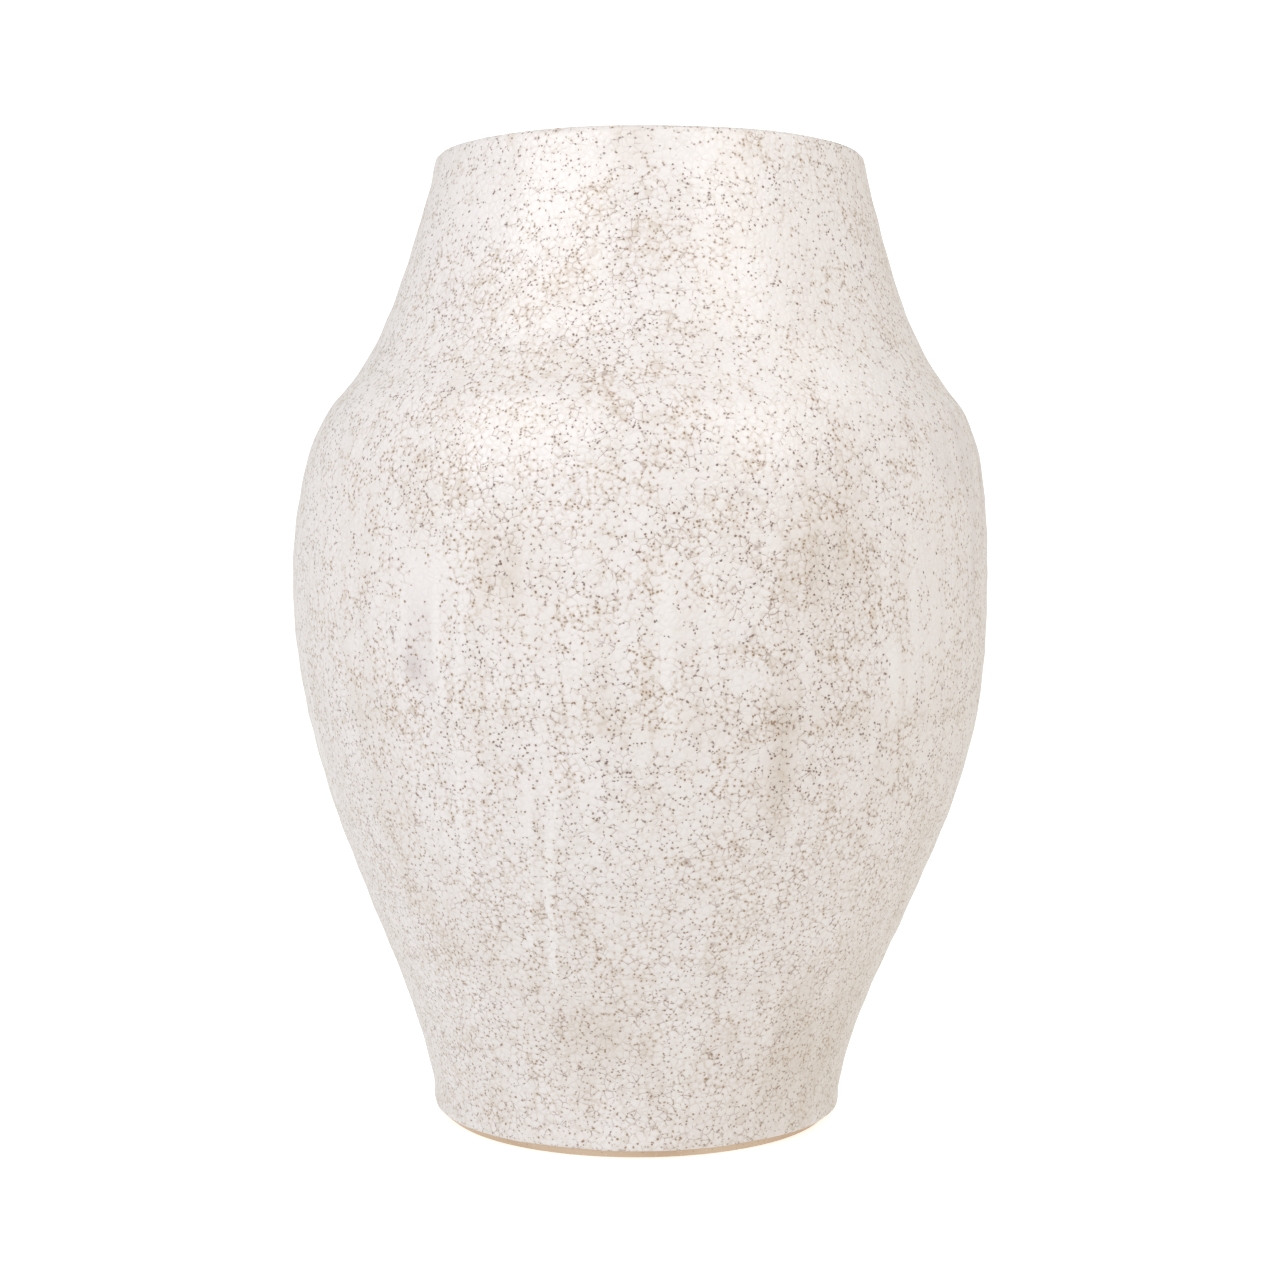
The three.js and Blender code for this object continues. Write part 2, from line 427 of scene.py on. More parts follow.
coat = section("outer_glaze")
crown = int(coat[:, 1].argmax())
lip_end = crown + int(np.argmin(np.abs(coat[crown:, 1] - FACE_END)))
face = smooth(coat[: lip_end + 1], FACE_SPACING, False)
back = smooth(np.vstack([coat[lip_end:], coat[:1]]), BACK_SPACING, False)
glaze = turned("crackled_glaze", np.vstack([face[:-1], back[:-1]]), GLAZE_STEPS)
print("its face has", len(face), "rows and its back", len(back))

# %% [markdown]
# Where the runs and the speckled patches lie is a matter of how the bucket was poured. They could be
# brushed on with vertex paint, but a table is easier to read and to change. So the front is described run
# by run, as an angle from the front and a height, and the rest of the way round is left to a fixed roll of
# dice.

# %% Lay out the runs on the front
# top angle, top height, bottom angle, bottom height, half width, strength; degrees and millimetres
FRONT_RUNS = [
    (-31, 262, -31.5, 185, 1.8, 0.7),
    (-26, 247, -33, 111, 1.6, 0.8),
    (-13.5, 175, -18.5, 70, 2.0, 0.9),
    (-17.5, 172, -22, 90, 1.8, 0.7),
    (3.5, 262, 4, 180, 3.2, 0.6),
    (9.5, 265, 10, 205, 2.2, 0.6),
    (40.5, 231, 42.5, 181, 3.0, 0.8),
    (31, 85, 31, 45, 3.0, 0.6),
    (11.5, 70, 11, 20, 3.0, 0.5),
    (45, 278, 46, 184, 3.0, 0.45),
    (50.5, 272, 52, 178, 3.6, 0.35),
    (56, 262, 57, 190, 2.6, 0.3),
]
print(len(FRONT_RUNS), "runs are placed by hand")

# %% [markdown]
# The speckle isn't even either. It gathers where the glaze is thin, and fades where a second pour went over
# it. Each patch is a soft oval that adds to the iron or takes from it.

# %% Lay out the iron on the front
# angle, height, half width, half height, strength; plus is more iron, minus is clear white glaze
FRONT_IRON = [
    (-1.5, 378, 18, 16, 0.7),
    (13, 388, 20, 12, 0.5),
    (-24.5, 355, 32, 14, 0.85),
    (-14, 362, 16, 14, 0.7),
    (-38, 330, 16, 14, 0.55),
    (-14, 328, 16, 12, 0.5),
    (-5, 303, 24, 12, 0.8),
    (-33, 289, 28, 12, 0.9),
    (-7.5, 334, 24, 16, 0.6),
    (-30, 362, 20, 14, 0.3),
    (-28.5, 278, 28, 18, 0.7),
    (-17.5, 251, 22, 18, 0.15),
    (21.5, 248, 28, 24, 0.95),
    (26.5, 224, 24, 18, 0.95),
    (24, 150, 20, 28, 0.8),
    (5.5, 193, 34, 11, 0.5),
    (-15, 192, 22, 10, 0.3),
    (24.5, 192, 24, 10, 0.7),
    (-37, 190, 20, 11, 0.5),
    (12, 140, 26, 24, 0.25),
    (-23.5, 47, 20, 16, 0.4),
    (1, 42, 24, 18, 0.3),
    (-50, 395, 24, 24, -0.5),
    (0, 408, 60, 7, -0.45),
    (30, 385, 30, 24, -0.3),
    (18, 350, 30, 30, -0.15),
    (32, 350, 34, 26, -0.3),
    (12, 318, 26, 18, -0.1),
    (-52, 255, 26, 34, -0.5),
    (-33, 236, 11, 20, -0.9),
    (50, 230, 18, 34, -0.45),
    (62, 285, 34, 26, -0.5),
    (45, 197, 14, 16, -0.4),
    (7, 225, 10, 22, -0.4),
    (-14, 222, 16, 14, -0.5),
    (38, 312, 36, 22, -0.4),
    (-60, 85, 36, 75, 0.8),
    (62, 75, 36, 70, 0.8),
]
print(len(FRONT_IRON), "patches have more or less iron")

# %% [markdown]
# The white itself changes too: tan where the clay shows through, and a greyish lavender where the glaze
# pooled. Low on the right, the tan is partly the glaze by the foot and partly painted warm, darker shade.

# %% Lay out the tones on the front
# the same, where plus is a tan tone and minus a grey lavender one; one tan patch is partly painted shade
FRONT_TONE = [
    (-36.5, 206, 6, 8, -0.4),
    (-34, 224, 7, 18, -0.22),
    (-34, 188, 6, 14, -0.15),
    (-29, 233, 4, 18, -0.3),
    (-23, 205, 6, 22, -0.2),
    (66, 285, 44, 44, -0.4),
    (-20, 246, 14, 26, 0.5),
    (29, 249, 24, 32, 0.5),
    (21.5, 170, 5, 30, 0.5),
    (-8.5, 48, 26, 22, 0.4),
    # low on the right: tan glaze by the foot, and also painted warm, darker shade
    (56, 38, 36, 36, 0.55),
    (-24, 352, 24, 14, 0.3),
    (-44, 120, 14, 50, 0.2),
]
print(len(FRONT_TONE), "patches have a tone of their own")

# %% [markdown]
# Nobody looks for one run in particular at the back, so those needn't be placed by hand. The dice start
# from a fixed number, which gives the same vase every time.

# %% Roll the dice for the back
dice = random.Random(11)
runs = list(FRONT_RUNS)
for angle in range(68, 294, 9):
    top, fall = dice.uniform(60, 290), dice.uniform(35, 120)
    drift = dice.uniform(-4, 4)
    start = angle + dice.uniform(-3, 3)
    foot = max(12, top - fall)
    half_width, strength = dice.uniform(2.2, 4.5), dice.uniform(0.4, 0.9)
    runs.append((start, top, start + drift, foot, half_width, strength))
print(len(runs), "runs of white glaze go round the vase")


# %% [markdown]
# ## Spreading the runs and patches over the coat
# The tables have to reach the shader. Painting an image would tie the finish to a flat map of the pot, so
# each point of the mesh is given three numbers instead, and the shader reads them by name: how much white,
# how much iron, and what tone. Noise is added to each, because no pour is tidy.


# %% Measure round the vase
RUN_SWING = 0.6  # millimetres, as in the table
RUN_BEND = 14 * MM
RUN_STARTS_IN = 25 * MM
RUN_ENDS_IN = 3 * MM


def turned_from(angles, middle):
    """How far, in radians, an angle from the front is from the middle of a feature, the short way round."""
    return (angles - np.radians(middle) + math.pi) % math.tau - math.pi


def patches(angles, heights, radii, table):
    """The sum of soft patches, at each point."""
    total = np.zeros(len(angles))
    for middle, height, half_width, half_height, strength in table:
        across = turned_from(angles, middle) * radii / (half_width * MM)
        up = (heights - height * MM) / (half_height * MM)
        total += strength * np.exp(-(across**2) - up**2)
    return total


def run_depth(angles, heights, radii):
    """How thickly white glaze lies over each point, from 0 to 1."""
    depth = np.zeros(len(angles))
    for top_angle, top, foot_angle, foot, half_width, strength in runs:
        along = np.clip((top * MM - heights) / ((top - foot) * MM), 0, 1)
        middle = top_angle + (foot_angle - top_angle) * along
        swing = RUN_SWING * np.sin(heights / RUN_BEND + top)
        across = np.abs(turned_from(angles, middle) * radii / MM + swing) / half_width
        ends = ease((top * MM - heights) / RUN_STARTS_IN) * ease((heights - foot * MM) / RUN_ENDS_IN)
        depth = np.maximum(depth, strength * ease(1.5 - across) * ends)
    return depth


def keep(piece, name, values):
    """Stores a number at each point, for the glaze's finish to read."""
    attribute = piece.data.attributes.new(name, "FLOAT", "POINT")
    attribute.data.foreach_set("value", values.astype(np.float32))
    print("%s goes from %.2f to %.2f" % (name, values.min(), values.max()))


ten_degrees = turned_from(math.radians(10), 0) * cad_box[1][0]
print("ten degrees round the belly are %.0f mm of glaze" % (ten_degrees / MM))

# %% Give each point its white, iron and tone
BELLY_SEAM = 178 * MM
SEAM_BAND = 26 * MM
BELOW_BAND = 30 * MM
MOST_IRON = 1.6
MOST_TAN = 1.2

places = places_of(glaze)
radius = np.hypot(places[:, 0], places[:, 1])
height = places[:, 2].copy()
angle = np.arctan2(places[:, 0], -places[:, 1])
white = run_depth(angle, height, radius) * (0.8 + 0.4 * grain(places * (1, 1, 0.3), 6 * MM))
cloud = grain(places * (1, 1, 0.6), 34 * MM) * 0.6 + grain(places * (1, 1, 0.45) + 3, 15 * MM) * 0.4
above_seam = ease((height - BELLY_SEAM) / (2 * MM))
seam_band = above_seam * ease(1 - (height - BELLY_SEAM) / SEAM_BAND)
below_band = (1 - above_seam) * ease(1 - (BELLY_SEAM - height) / BELOW_BAND)
iron = 0.82 + 0.35 * cloud + patches(angle, height, radius, FRONT_IRON)
iron += 0.2 * seam_band - 0.1 * below_band + 0.3 * ease((150 * MM - height) / (40 * MM))
streak = grain(places * (1, 1, 0.15), 9 * MM)
thread = 1 + 0.6 * grain(places * (1, 1, 0.2) + 5, 5 * MM)
tone = 0.25 * streak + 0.25 * grain(places * (1, 1, 0.4) + 7, 30 * MM)
tone += patches(angle, height, radius, FRONT_TONE) * thread
tone += 0.2 * seam_band + 0.15 * ease(1 - height / (110 * MM)) - 0.1
keep(glaze, "white", white)
keep(glaze, "iron", np.clip(iron - 0.9 * white, 0, MOST_IRON))
keep(glaze, "tone", np.clip(tone, -1, MOST_TAN))

# %% [markdown]
# ## Shaping the face
# Every unevenness is a distance that the face is pushed outwards. They add up: throwing rings, pebbling,
# the raised runs, a ridge at the belly seam and the roll where the glaze stopped above the foot. The
# glaze's two edges are also moved up and down a little, so neither is a ruled line. Doing this in the mesh,
# and not in the shader, gives the outline its wobble and lets the shape survive an export.

# %% Shape the face
RING_PITCH = 17 * MM
RING_DEPTH = 0.1 * MM
PEBBLE_SIZE = 8 * MM
PEBBLE_DEPTH = 0.13 * MM
RUN_DEPTH = 0.42 * MM
ROLL = 0.4 * MM
ROLL_HEIGHT = 7.5 * MM
ROLL_WIDTH = 3.2 * MM
SEAM_RIDGE = 0.2 * MM
SEAM_WIDTH = 3.5 * MM
FACE_FROM = 4 * MM
FACE_TO = 419 * MM

outline = face[: int(face[:, 1].argmax()) + 1]
full = np.interp(height, outline[:, 1], outline[:, 0])
on_face = ease((radius - full + 0.9 * MM) / (0.6 * MM))
rings = np.sin(height / RING_PITCH * math.tau + angle) * RING_DEPTH
pebble = grain(places, PEBBLE_SIZE) * PEBBLE_DEPTH
roll = ROLL * np.exp(-(((height - ROLL_HEIGHT) / ROLL_WIDTH) ** 2))
seam = SEAM_RIDGE * np.exp(-(((height - BELLY_SEAM) / SEAM_WIDTH) ** 2))
lift = rings + pebble + RUN_DEPTH * white + roll + seam
lift *= ease((height - FACE_FROM) / (3 * MM)) * ease((FACE_TO - height) / (6 * MM))
print("the glaze's face stands at most %.2f mm proud" % (1000 * (lift * on_face).max()))

# %% Let its edges waver
FOOT_RADIUS = 89 * MM
EDGE_WAVE = 0.55 * MM
LIP_WAVE = 0.35 * MM

around = outward(places) * FOOT_RADIUS
edge = (grain(around, 18 * MM) * 0.6 + grain(around, 55 * MM) * 0.8 + 0.4) * EDGE_WAVE
lip = grain(around, 60 * MM) * LIP_WAVE
places += outward(places) * (lift * on_face)[:, None]
places[:, 2] += edge * ease((13 * MM - height) / (9 * MM)) + lip * ease((height - 395 * MM) / (20 * MM))
put(glaze, places)
wander(glaze)
print("its lower edge wavers by %.2f mm and its lip by %.2f mm" % (np.ptp(edge) / MM, np.ptp(lip) / MM))

# %% [markdown]
# ## Writing materials as sums
# A glaze is a handful of patterns added, multiplied and compared. Its nodes could be laid out one by one,
# but a sum is quicker to read than a web of links. This small class lets them be written that way: it holds
# one output of a node, and each sum or product of two of them adds a Math node. Colours are only mixed.


# %% Wrap a node's output
class Wire:
    """One output of a node in a material, which sums and products can be made of."""

    def __init__(self, tree, output=None):
        self.tree = tree
        self.output = output

    def node(self, kind, settings, sockets, output=0):
        """Adds any node, sets it up, feeds its sockets, and returns one of its outputs."""
        new = self.tree.nodes.new(kind)
        for name, value in settings.items():
            setattr(new, name, value)
        for name, value in sockets.items():
            if isinstance(value, Wire):
                self.tree.links.new(value.output, new.inputs[name])
            else:
                new.inputs[name].default_value = value
        return Wire(self.tree, new.outputs[output])

    def maths(self, operation, first, second):
        """The result of a sum or product."""
        return self.node("ShaderNodeMath", {"operation": operation}, {0: first, 1: second})

    def __add__(self, other):
        return self.maths("ADD", self, other)

    def __sub__(self, other):
        return self.maths("SUBTRACT", self, other)

    def __rsub__(self, other):
        return self.maths("SUBTRACT", other, self)

    def __mul__(self, other):
        return self.maths("MULTIPLY", self, other)

    __radd__ = __add__
    __rmul__ = __mul__

    def step(self, low, high):
        """0 up to low, 1 from high, and a soft step between. low may be above high."""
        sockets = {"Value": self, "From Min": low, "From Max": high}
        return self.node("ShaderNodeMapRange", {"interpolation_type": "SMOOTHSTEP"}, sockets)

    def mix(self, first, second):
        """first where this is 0, and second where it is 1."""
        sockets = {0: self, 6: first, 7: second}
        return self.node("ShaderNodeMix", {"data_type": "RGBA"}, sockets, 2)

    def noise(self, size, detail=1.0):
        """Noise with lumps of a size in metres, where this is a place."""
        sockets = {"Vector": self, "Scale": 0.5 / size, "Detail": detail}
        return self.node("ShaderNodeTexNoise", {}, sockets)

    def cells(self, size, feature, output=0):
        """Cells of a size in metres, where this is a place."""
        settings = {"feature": feature}
        return self.node("ShaderNodeTexVoronoi", settings, {"Vector": self, "Scale": 1 / size}, output)

    def part(self, index):
        """One of a colour's three numbers."""
        return self.node("ShaderNodeSeparateColor", {}, {"Color": self}, index)

    def stretched(self, across, up):
        """This place with its pattern drawn out: 0.1 makes lumps ten times as long."""
        scale = (across, across, up)
        return self.node("ShaderNodeMapping", {}, {"Vector": self, "Scale": scale})

    def bump(self, distance, strength=1.0):
        """A normal that tilts as if the surface rose by this times a distance in metres."""
        sockets = {"Height": self, "Distance": distance, "Strength": strength}
        return self.node("ShaderNodeBump", {}, sockets)


print("a Wire can make:", ", ".join(name for name in vars(Wire) if name.isalpha()))


# %% Keep the paint chart and the kiln's controls
def srgb(red, green, blue):
    """A colour as a paint chart gives it, from 0 to 255, as the shader wants it."""
    light = [c / 255 for c in (red, green, blue)]
    return tuple(c / 12.92 if c < 0.04045 else ((c + 0.055) / 1.055) ** 2.4 for c in light) + (1.0,)


def finish(name, pieces, coat_weight=0.0, coat_roughness=0.1, ior=1.5):
    """A new material on some pieces. Returns its shader node and a Wire to build with."""
    material = bpy.data.materials.new(name)
    material.use_nodes = True
    for piece in pieces:
        piece.data.materials.clear()
        piece.data.materials.append(material)
    shader = material.node_tree.nodes["Principled BSDF"]
    shader.inputs["IOR"].default_value = ior
    shader.inputs["Coat Weight"].default_value = coat_weight
    shader.inputs["Coat Roughness"].default_value = coat_roughness
    print(name, "covers:", ", ".join(piece.name for piece in pieces))
    return shader, Wire(material.node_tree)


def here(wire):
    """The place on the piece that is being coloured."""
    return wire.node("ShaderNodeTexCoord", {}, {}, "Object")


def feed(shader, **sockets):
    """Links outputs to the shader: base_color=... goes to Base Color."""
    for name, wire in sockets.items():
        wire.tree.links.new(wire.output, shader.inputs[name.replace("_", " ").title()])
    print("the finish is made of", len(wire.tree.nodes), "nodes")


print("middle grey is %.3f to a shader" % srgb(128, 128, 128)[0])


# %% [markdown]
# ## The crackled glaze
# As the kiln cools, the glaze shrinks more than the clay and crackles into small plates. Iron from the clay
# bleeds up through the crackle, so the dots gather along the cracks. An image of crackle could be wrapped
# round the pot, but it would stretch at the shoulder and show its repeats. Voronoi cells in space do
# neither: the distance to a cell's edge draws the cracks, and a little noise bends them. Where the glaze is
# thick, in the runs, it stays clean and white.

# %% Crackle the outer glaze
PLATE = 3.1 * MM
SWAY = 2.2 * MM
glaze_shader, wire = finish("crackled_white_glaze", [glaze], coat_weight=0.6, coat_roughness=0.22, ior=1.52)
place = here(wire)
iron_here = wire.node("ShaderNodeAttribute", {"attribute_name": "iron"}, {}, "Fac")
white_here = wire.node("ShaderNodeAttribute", {"attribute_name": "white"}, {}, "Fac")
tone_here = wire.node("ShaderNodeAttribute", {"attribute_name": "tone"}, {}, "Fac")

sway = place.node("ShaderNodeTexNoise", {}, {"Vector": place, "Scale": 180.0, "Detail": 2.0}, "Color")
sockets = {0: sway, 1: (SWAY, SWAY, SWAY), 2: place}
swayed = wire.node("ShaderNodeVectorMath", {"operation": "MULTIPLY_ADD"}, sockets)
crack = swayed.cells(PLATE, "DISTANCE_TO_EDGE")
cracks = crack.step(0.1, 0.0) * (place.noise(6 * MM, 1.0).step(0.3, 0.65) * 0.8 + 0.2)
print("the plates are about", PLATE / MM, "mm across")

# %% [markdown]
# Each dot is the ball round the middle of a small Voronoi cell, where the face cuts through it. The cell's
# colour is a draw of three random numbers, which decide whether it shows, how dark it is and how big. A dot
# is likelier beside a crack, which is asked at the cell's middle so that the whole dot comes or goes. Low
# on the pot the dots are smaller, rustier and more evenly spread.

# %% Let the iron through
SPOT = 1.5 * MM
WEB = 7.5 * MM
spot = swayed.cells(SPOT, "F1")
draw = swayed.cells(SPOT, "F1", "Color")
heart = swayed.cells(SPOT, "F1", "Position")
beside = heart.cells(PLATE, "DISTANCE_TO_EDGE").step(0.15, 0.04)
first_draw, second_draw, third_draw = draw.part(0), draw.part(1), draw.part(2)

low = place.node("ShaderNodeSeparateXYZ", {}, {"Vector": place}, 2).step(0.19, 0.1)
islands = place.noise(4.5 * MM, 1.0).step(0.36, 0.6)
web = swayed.cells(WEB, "DISTANCE_TO_EDGE").step(0.2, 0.05)
speckle = iron_here * ((web * 0.75 + islands * 0.55) * (1 - low * 0.3) + 0.1 + low * 0.32)
there = (speckle * (beside * 1.45 + 0.35) - first_draw).step(0.0, 0.06)
reach = crack.step(0.24, 0.0) * 0.11 + 0.17 - low * 0.015 + third_draw * 0.12
dots = (reach - spot).step(0.0, 0.07) * there * (second_draw * 0.5 + 0.5)
rusty = place.noise(9 * MM, 1.0).step(0.4, 0.7)
halo = (reach * 3.0 - spot).step(0.0, 0.5) * there * (rusty * 0.7 + 0.3)
broken = place.noise(2.2 * MM).step(0.5, 0.62)
stitches = crack.step(0.07, 0.02) * broken * speckle.step(0.4, 0.9)
print("there is room for a dot every", SPOT / MM, "mm")

# %% [markdown]
# The colours are laid over each other as they formed: the glaze's own white and its tones, the white runs,
# the tan that bled round the iron, the cracks and last the iron itself. Low on the right, the tan tone is
# partly painted warm shade. Each layer is a mix of two colours by one pattern.

# %% Colour the outer glaze
CLEAR = srgb(238, 233, 232)
LAVENDER = srgb(206, 195, 196)
TAN = srgb(216, 205, 194)
MOTTLE = srgb(208, 195, 180)
MILK = srgb(240, 236, 234)
BLEED = srgb(204, 187, 166)
CRACK = srgb(184, 164, 152)
STITCH = srgb(132, 104, 92)
DARK_IRON = srgb(92, 62, 64)
RUST = srgb(150, 120, 88)

streaks = place.stretched(1.0, 0.1).noise(5 * MM)
clean = tone_here.step(-0.2, -0.9).mix(CLEAR, LAVENDER)
# the tan tone; low on the right it is partly painted warm shade
tan_tone_and_warm_shade = tone_here.step(-0.4, 1.1).mix(clean, TAN)
mottled = (place.noise(2.4 * MM, 1.0).step(0.5, 0.75) * speckle * 0.3).mix(tan_tone_and_warm_shade, MOTTLE)
washed = (streaks.step(0.52, 0.72) * 0.3).mix(mottled, MILK)
glaze_body = (white_here * 1.2).mix(washed, MILK)
rust = (second_draw * 0.6 + rusty * 0.5 + low * 0.35).step(0.35, 0.85).mix(DARK_IRON, RUST)
stained = (halo * 0.5).mix(glaze_body, BLEED)
lined = (cracks * (speckle * 0.16 + 0.12)).mix(stained, CRACK)
spotted = (stitches * 0.4).mix(lined, STITCH)
glaze_colour = dots.mix(spotted, rust)
print("the clear glaze is %.2f, %.2f, %.2f to a shader" % CLEAR[:3])

# %% [markdown]
# Up close, each plate is a tiny pillow, the face between has the texture of orange peel, and a dot is a
# pit. That is too fine for the mesh, so it goes in the bump, which tilts the highlights. Dots are rougher
# than the glaze.

# %% Give it its sheen
pillow = crack.step(0.0, 0.3)
peel = place.noise(1.6 * MM, 1.0)
relief = pillow * 1.0 + peel * 0.6 - dots * 0.5
glaze_bump = relief.bump(0.18 * MM, 0.8)
glaze_rough = 0.3 + peel * 0.1 + dots * 0.2
feed(glaze_shader, base_color=glaze_colour, roughness=glaze_rough, normal=glaze_bump)

# %% [markdown]
# ## The liner's glaze
# The liner is the same white glaze, poured once. It is thinner and more even, so its crackle shows and its
# dots are few, and it is glossier because nothing ran into it. The outer finish could be used again, but it
# reads numbers that only the outer coat has. So this one is simpler: the distance to a cell's middle is
# greatest at the corners of the plates, and that is where its dots sit.

# %% Fire the liner
LINER_PLATE = 5 * MM
liner_shader, wire = finish("poured_white_glaze", [liner], coat_weight=0.5, coat_roughness=0.12, ior=1.52)
place = here(wire)
corner = place.cells(LINER_PLATE, "F1")
crack = place.cells(LINER_PLATE, "DISTANCE_TO_EDGE")
drift = place.noise(30 * MM, 2.0)
specks = (corner - (1.12 - drift * 0.3)).step(0.0, 0.08)
pale = drift.step(0.35, 0.65).mix(srgb(232, 227, 218), srgb(224, 215, 201))
lined = (crack.step(0.03, 0.0) * 0.35).mix(pale, srgb(168, 150, 132))
liner_colour = (specks * 0.7).mix(lined, srgb(140, 112, 90))
liner_bump = place.noise(7 * MM, 1.0).bump(0.2 * MM)
feed(liner_shader, base_color=liner_colour, roughness=0.2 + drift * 0.12, normal=liner_bump)

# %% [markdown]
# ## Bare clay and slip
# The stoneware fires to a warm tan. It carries grog, which is crushed fired clay, so it has pale and rusty
# grains and a dry, toothy surface, with fine rings where the trimming tool went round. One noise could
# stand for all of that, but each has a size and a colour of its own, so each gets its own pattern. Slip is
# the same clay let down with water, without the grog: finer, a little darker, and brushed into the seams.

# %% Fire the clay
GROG = 1.3 * MM
clay_pieces = [foot_ring, floor_slab, *clay.values()]
clay_shader, wire = finish("bare_tan_stoneware", clay_pieces)
place = here(wire)
lathe = place.stretched(0.08, 1.0).noise(0.9 * MM, 2.0)
toast = place.noise(22 * MM, 2.0)
grog = place.cells(GROG, "F1")
kind = place.cells(GROG, "F1", "Color").part(0)
rusty_grain = grog.step(0.32, 0.2) * kind.step(0.8, 0.9)
pale_grain = grog.step(0.34, 0.22) * kind.step(0.2, 0.1)
clay_colour = toast.step(0.35, 0.65).mix(srgb(212, 187, 161), srgb(199, 169, 140))
clay_colour = (lathe * 0.25).mix(clay_colour, srgb(226, 203, 178))
clay_colour = (rusty_grain * 0.7).mix(clay_colour, srgb(140, 96, 66))
clay_colour = (pale_grain * 0.6).mix(clay_colour, srgb(236, 224, 206))
clay_height = lathe * 0.4 + place.noise(0.8 * MM, 2.0) * 0.6
clay_bump = clay_height.bump(0.2 * MM)
feed(clay_shader, base_color=clay_colour, roughness=0.72 + toast * 0.2, normal=clay_bump)

# %% Fire the slip
slip_shader, wire = finish("brushed_joint_slip", list(slip.values()))
place = here(wire)
strokes = place.stretched(0.2, 1.0).noise(1.5 * MM, 2.0)
slip_colour = strokes.step(0.3, 0.7).mix(srgb(186, 154, 124), srgb(202, 172, 142))
slip_bump = strokes.bump(0.15 * MM)
feed(slip_shader, base_color=slip_colour, roughness=0.65 + strokes * 0.2, normal=slip_bump)

# %% [markdown]
# ## Putting the pieces on the frame
# Nothing on the vase moves, so every piece rides on the one body. Joined into one mesh they would look the
# same, but then no layer could be lifted off or given another finish. So each is shown in place of the CAD
# piece that it was turned from, and that piece is hidden.

# %% Hand the pieces over
made = {
    "foot_ring": (foot_ring, "bare_stoneware"),
    "floor_slab": (floor_slab, "bare_stoneware"),
    "liner_glaze": (liner, "liner_glaze"),
    "outer_glaze": (glaze, "outer_glaze"),
}
made.update({node: (piece, "bare_stoneware") for node, piece in clay.items()})
made.update({node: (piece, "joint_slip") for node, piece in slip.items()})
for node, (piece, slot) in made.items():
    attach(piece, "root")
    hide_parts(node)
print(len(made), "pieces stand for", len(nodes), "CAD pieces")

# %% [markdown]
# ## The studio
# The vase stands on a white sweep, a sheet of paper that curves up into a wall. A floor and a wall would
# show a line where they meet, so one plane's back edge is extruded upwards and the fold is bevelled into a
# wide curve.

# %% Roll the sweep out
SWEEP_WIDTH = 8.0
SWEEP_FRONT = -3.0
SWEEP_BACK = 2.2

bpy.ops.object.select_all(action="DESELECT")
middle = (SWEEP_FRONT + SWEEP_BACK) / 2
bpy.ops.mesh.primitive_plane_add(size=1, location=(0, middle, 0))
sweep = bpy.context.object
sweep.name = "white_sweep"
sweep.scale = (SWEEP_WIDTH, SWEEP_BACK - SWEEP_FRONT, 1)
bpy.ops.object.transform_apply(location=True, rotation=True, scale=True)
print("the paper is", SWEEP_WIDTH, "m wide")

# %% Turn its back edge up
WALL_TOP = 3.5
SWEEP_CURVE = 0.9

for polygon in sweep.data.polygons:
    polygon.select = False
for vertex in sweep.data.vertices:
    vertex.select = vertex.co.y > SWEEP_BACK - MM
for edge in sweep.data.edges:
    edge.select = all(sweep.data.vertices[i].select for i in edge.vertices)
bpy.ops.object.mode_set(mode="EDIT")
bpy.ops.mesh.select_mode(type="EDGE")
bpy.ops.mesh.extrude_region_move(TRANSFORM_OT_translate={"value": (0, 0, WALL_TOP)})
bpy.ops.object.mode_set(mode="OBJECT")
for edge in sweep.data.edges:
    ends = [sweep.data.vertices[i].co for i in edge.vertices]
    edge.select = all(end.y > SWEEP_BACK - MM and end.z < MM for end in ends)
bpy.ops.object.mode_set(mode="EDIT")
bpy.ops.mesh.bevel(offset=SWEEP_CURVE, segments=16, affect="EDGES")
bpy.ops.object.mode_set(mode="OBJECT")
bpy.ops.object.shade_smooth()
print("the sweep has", len(sweep.data.polygons), "faces")

# %% [markdown]
# The paper glows a little, so it stays white in every view. It's kept out of the vase's reflections and
# doesn't shade it: a sweep this big would flood a white pot with light, and the room's own light already
# stands in for it.

# %% Paper the sweep
sweep_shader, wire = finish("matt_white_paper", [sweep])
place = here(wire)
feed(sweep_shader, base_color=place.noise(0.5).mix(srgb(247, 247, 247), srgb(250, 250, 250)))
sweep_shader.inputs["Roughness"].default_value = 0.9
sweep_shader.inputs["Emission Color"].default_value = (1, 1, 1, 1)
sweep_shader.inputs["Emission Strength"].default_value = 0.5
sweep.visible_diffuse = False
sweep.visible_glossy = False
sweep.visible_shadow = False

# %% [markdown]
# ## The light
# The room is brighter from below and from the left, as it is beside a white table, and a little warmer from
# the right. A captured room could light it, but two directions and a sum say as much with nothing to load.
# One big soft box hangs high on the left, near the camera, a smaller one hangs on the right, and a faint
# third one lights the right edge. They are area lights, because a glaze shows them as soft bright shapes,
# here on the neck and the shoulder. Their power is worked out from a brightness, so a box keeps it when its
# size changes.

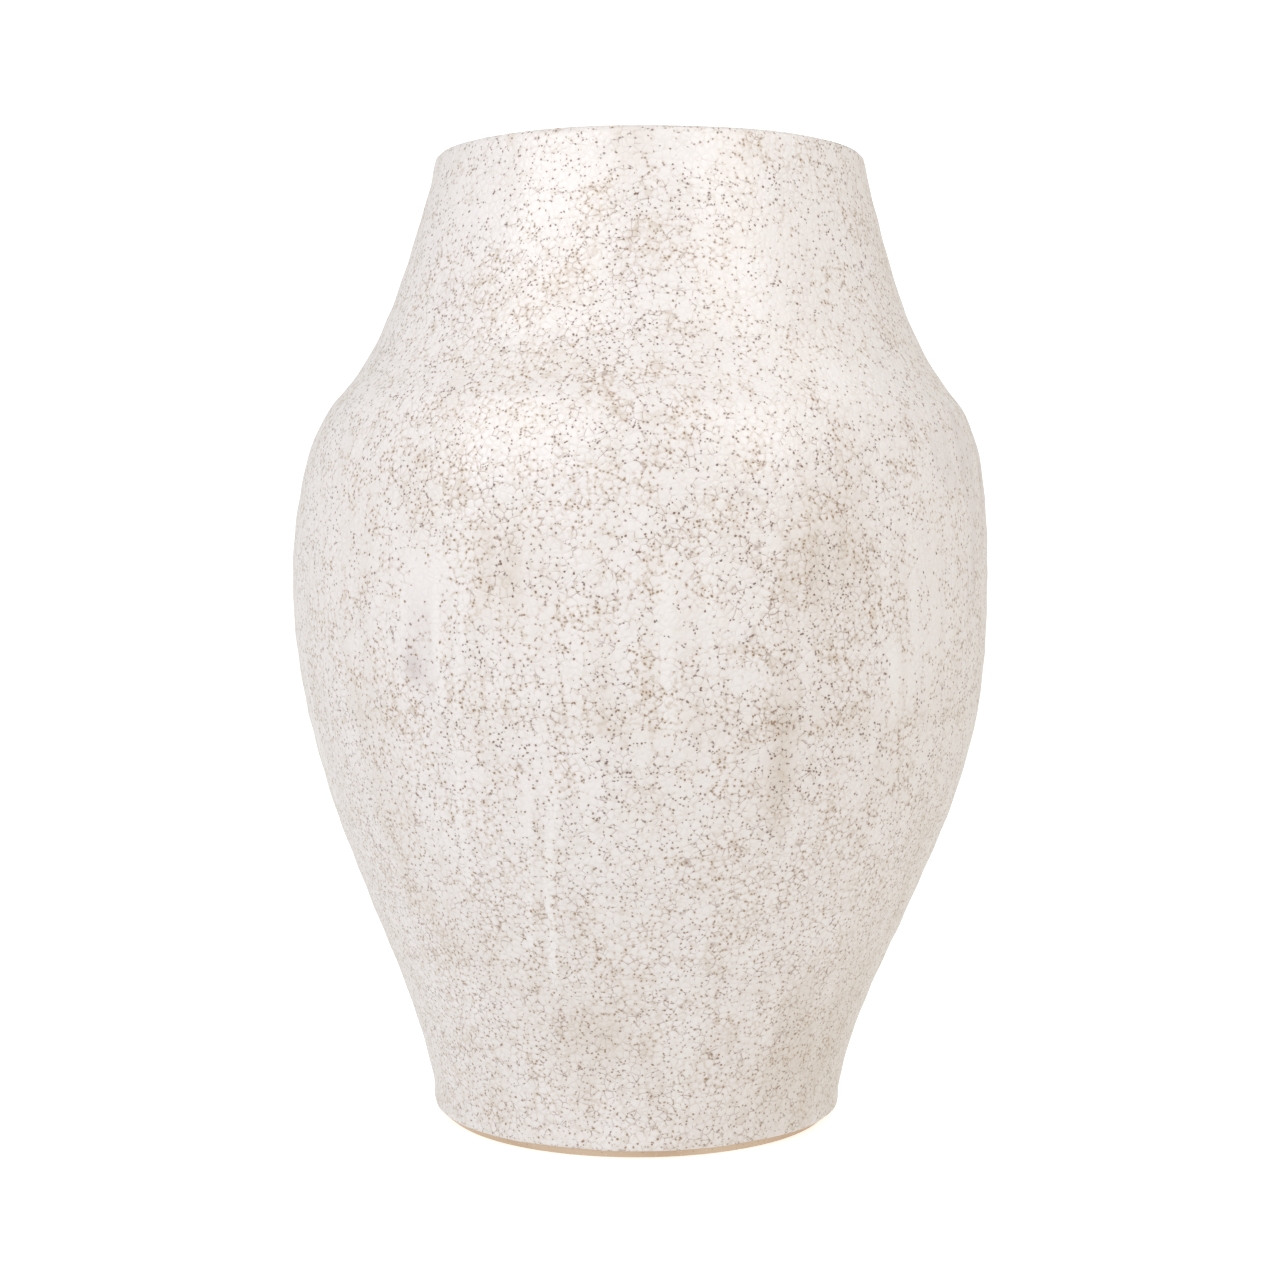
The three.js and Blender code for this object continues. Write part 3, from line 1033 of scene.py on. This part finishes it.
# %% Light the room
ROOM = 0.79
ROOM_SLOPE = 0.22
BRIGHT_SIDE = (-0.2, -0.25, -0.98)
WARM_SIDE = (0.85, 0.5, -0.15)
WHITE = (1.0, 1.0, 1.0, 1.0)
WARM = (1.0, 0.955, 0.88, 1.0)

world = bpy.data.worlds.new("bright_room")
bpy.context.scene.world = world
world.use_nodes = True
look = Wire(world.node_tree).node("ShaderNodeTexCoord", {}, {}, "Generated")
bright = look.node("ShaderNodeVectorMath", {"operation": "DOT_PRODUCT"}, {0: look, 1: BRIGHT_SIDE}, "Value")
warm = look.node("ShaderNodeVectorMath", {"operation": "DOT_PRODUCT"}, {0: look, 1: WARM_SIDE}, "Value")
background = world.node_tree.nodes["Background"]
world.node_tree.links.new(warm.step(-0.6, 0.9).mix(WHITE, WARM).output, background.inputs["Color"])
world.node_tree.links.new((bright * ROOM_SLOPE + ROOM).output, background.inputs["Strength"])
print("the room's brightness is", ROOM, "give or take", ROOM_SLOPE)


# %% Hang the soft boxes
def soft_box(name, azimuth, elevation, distance, width, height, radiance, colour):
    """A rectangular light that faces the vase. Azimuth is from the camera, plus to the right."""
    a, e = math.radians(azimuth), math.radians(elevation)
    aim = Vector((0, 0, 0.25))
    spot = aim + distance * Vector((math.sin(a) * math.cos(e), -math.cos(a) * math.cos(e), math.sin(e)))
    bpy.ops.object.light_add(type="AREA", location=spot)
    box = bpy.context.object
    box.name = name
    box.rotation_euler = (spot - aim).to_track_quat("Z", "Y").to_euler()
    box.data.shape = "RECTANGLE"
    box.data.size = width
    box.data.size_y = height
    box.data.energy = radiance * math.pi * width * height
    box.data.color = colour
    print(name, "hangs", distance, "m away")


soft_box("key_box", -46, 38, 1.6, 1.1, 1.0, 1.95, (1.0, 1.0, 1.0))
soft_box("side_box", 40, 36, 1.8, 0.9, 1.1, 1.9, (1.0, 0.99, 0.97))
soft_box("edge_box", 88, 62, 1.8, 1.0, 1.0, 0.8, (0.98, 0.99, 1.0))
bpy.context.scene.view_settings.view_transform = "Standard"

# %% [markdown]
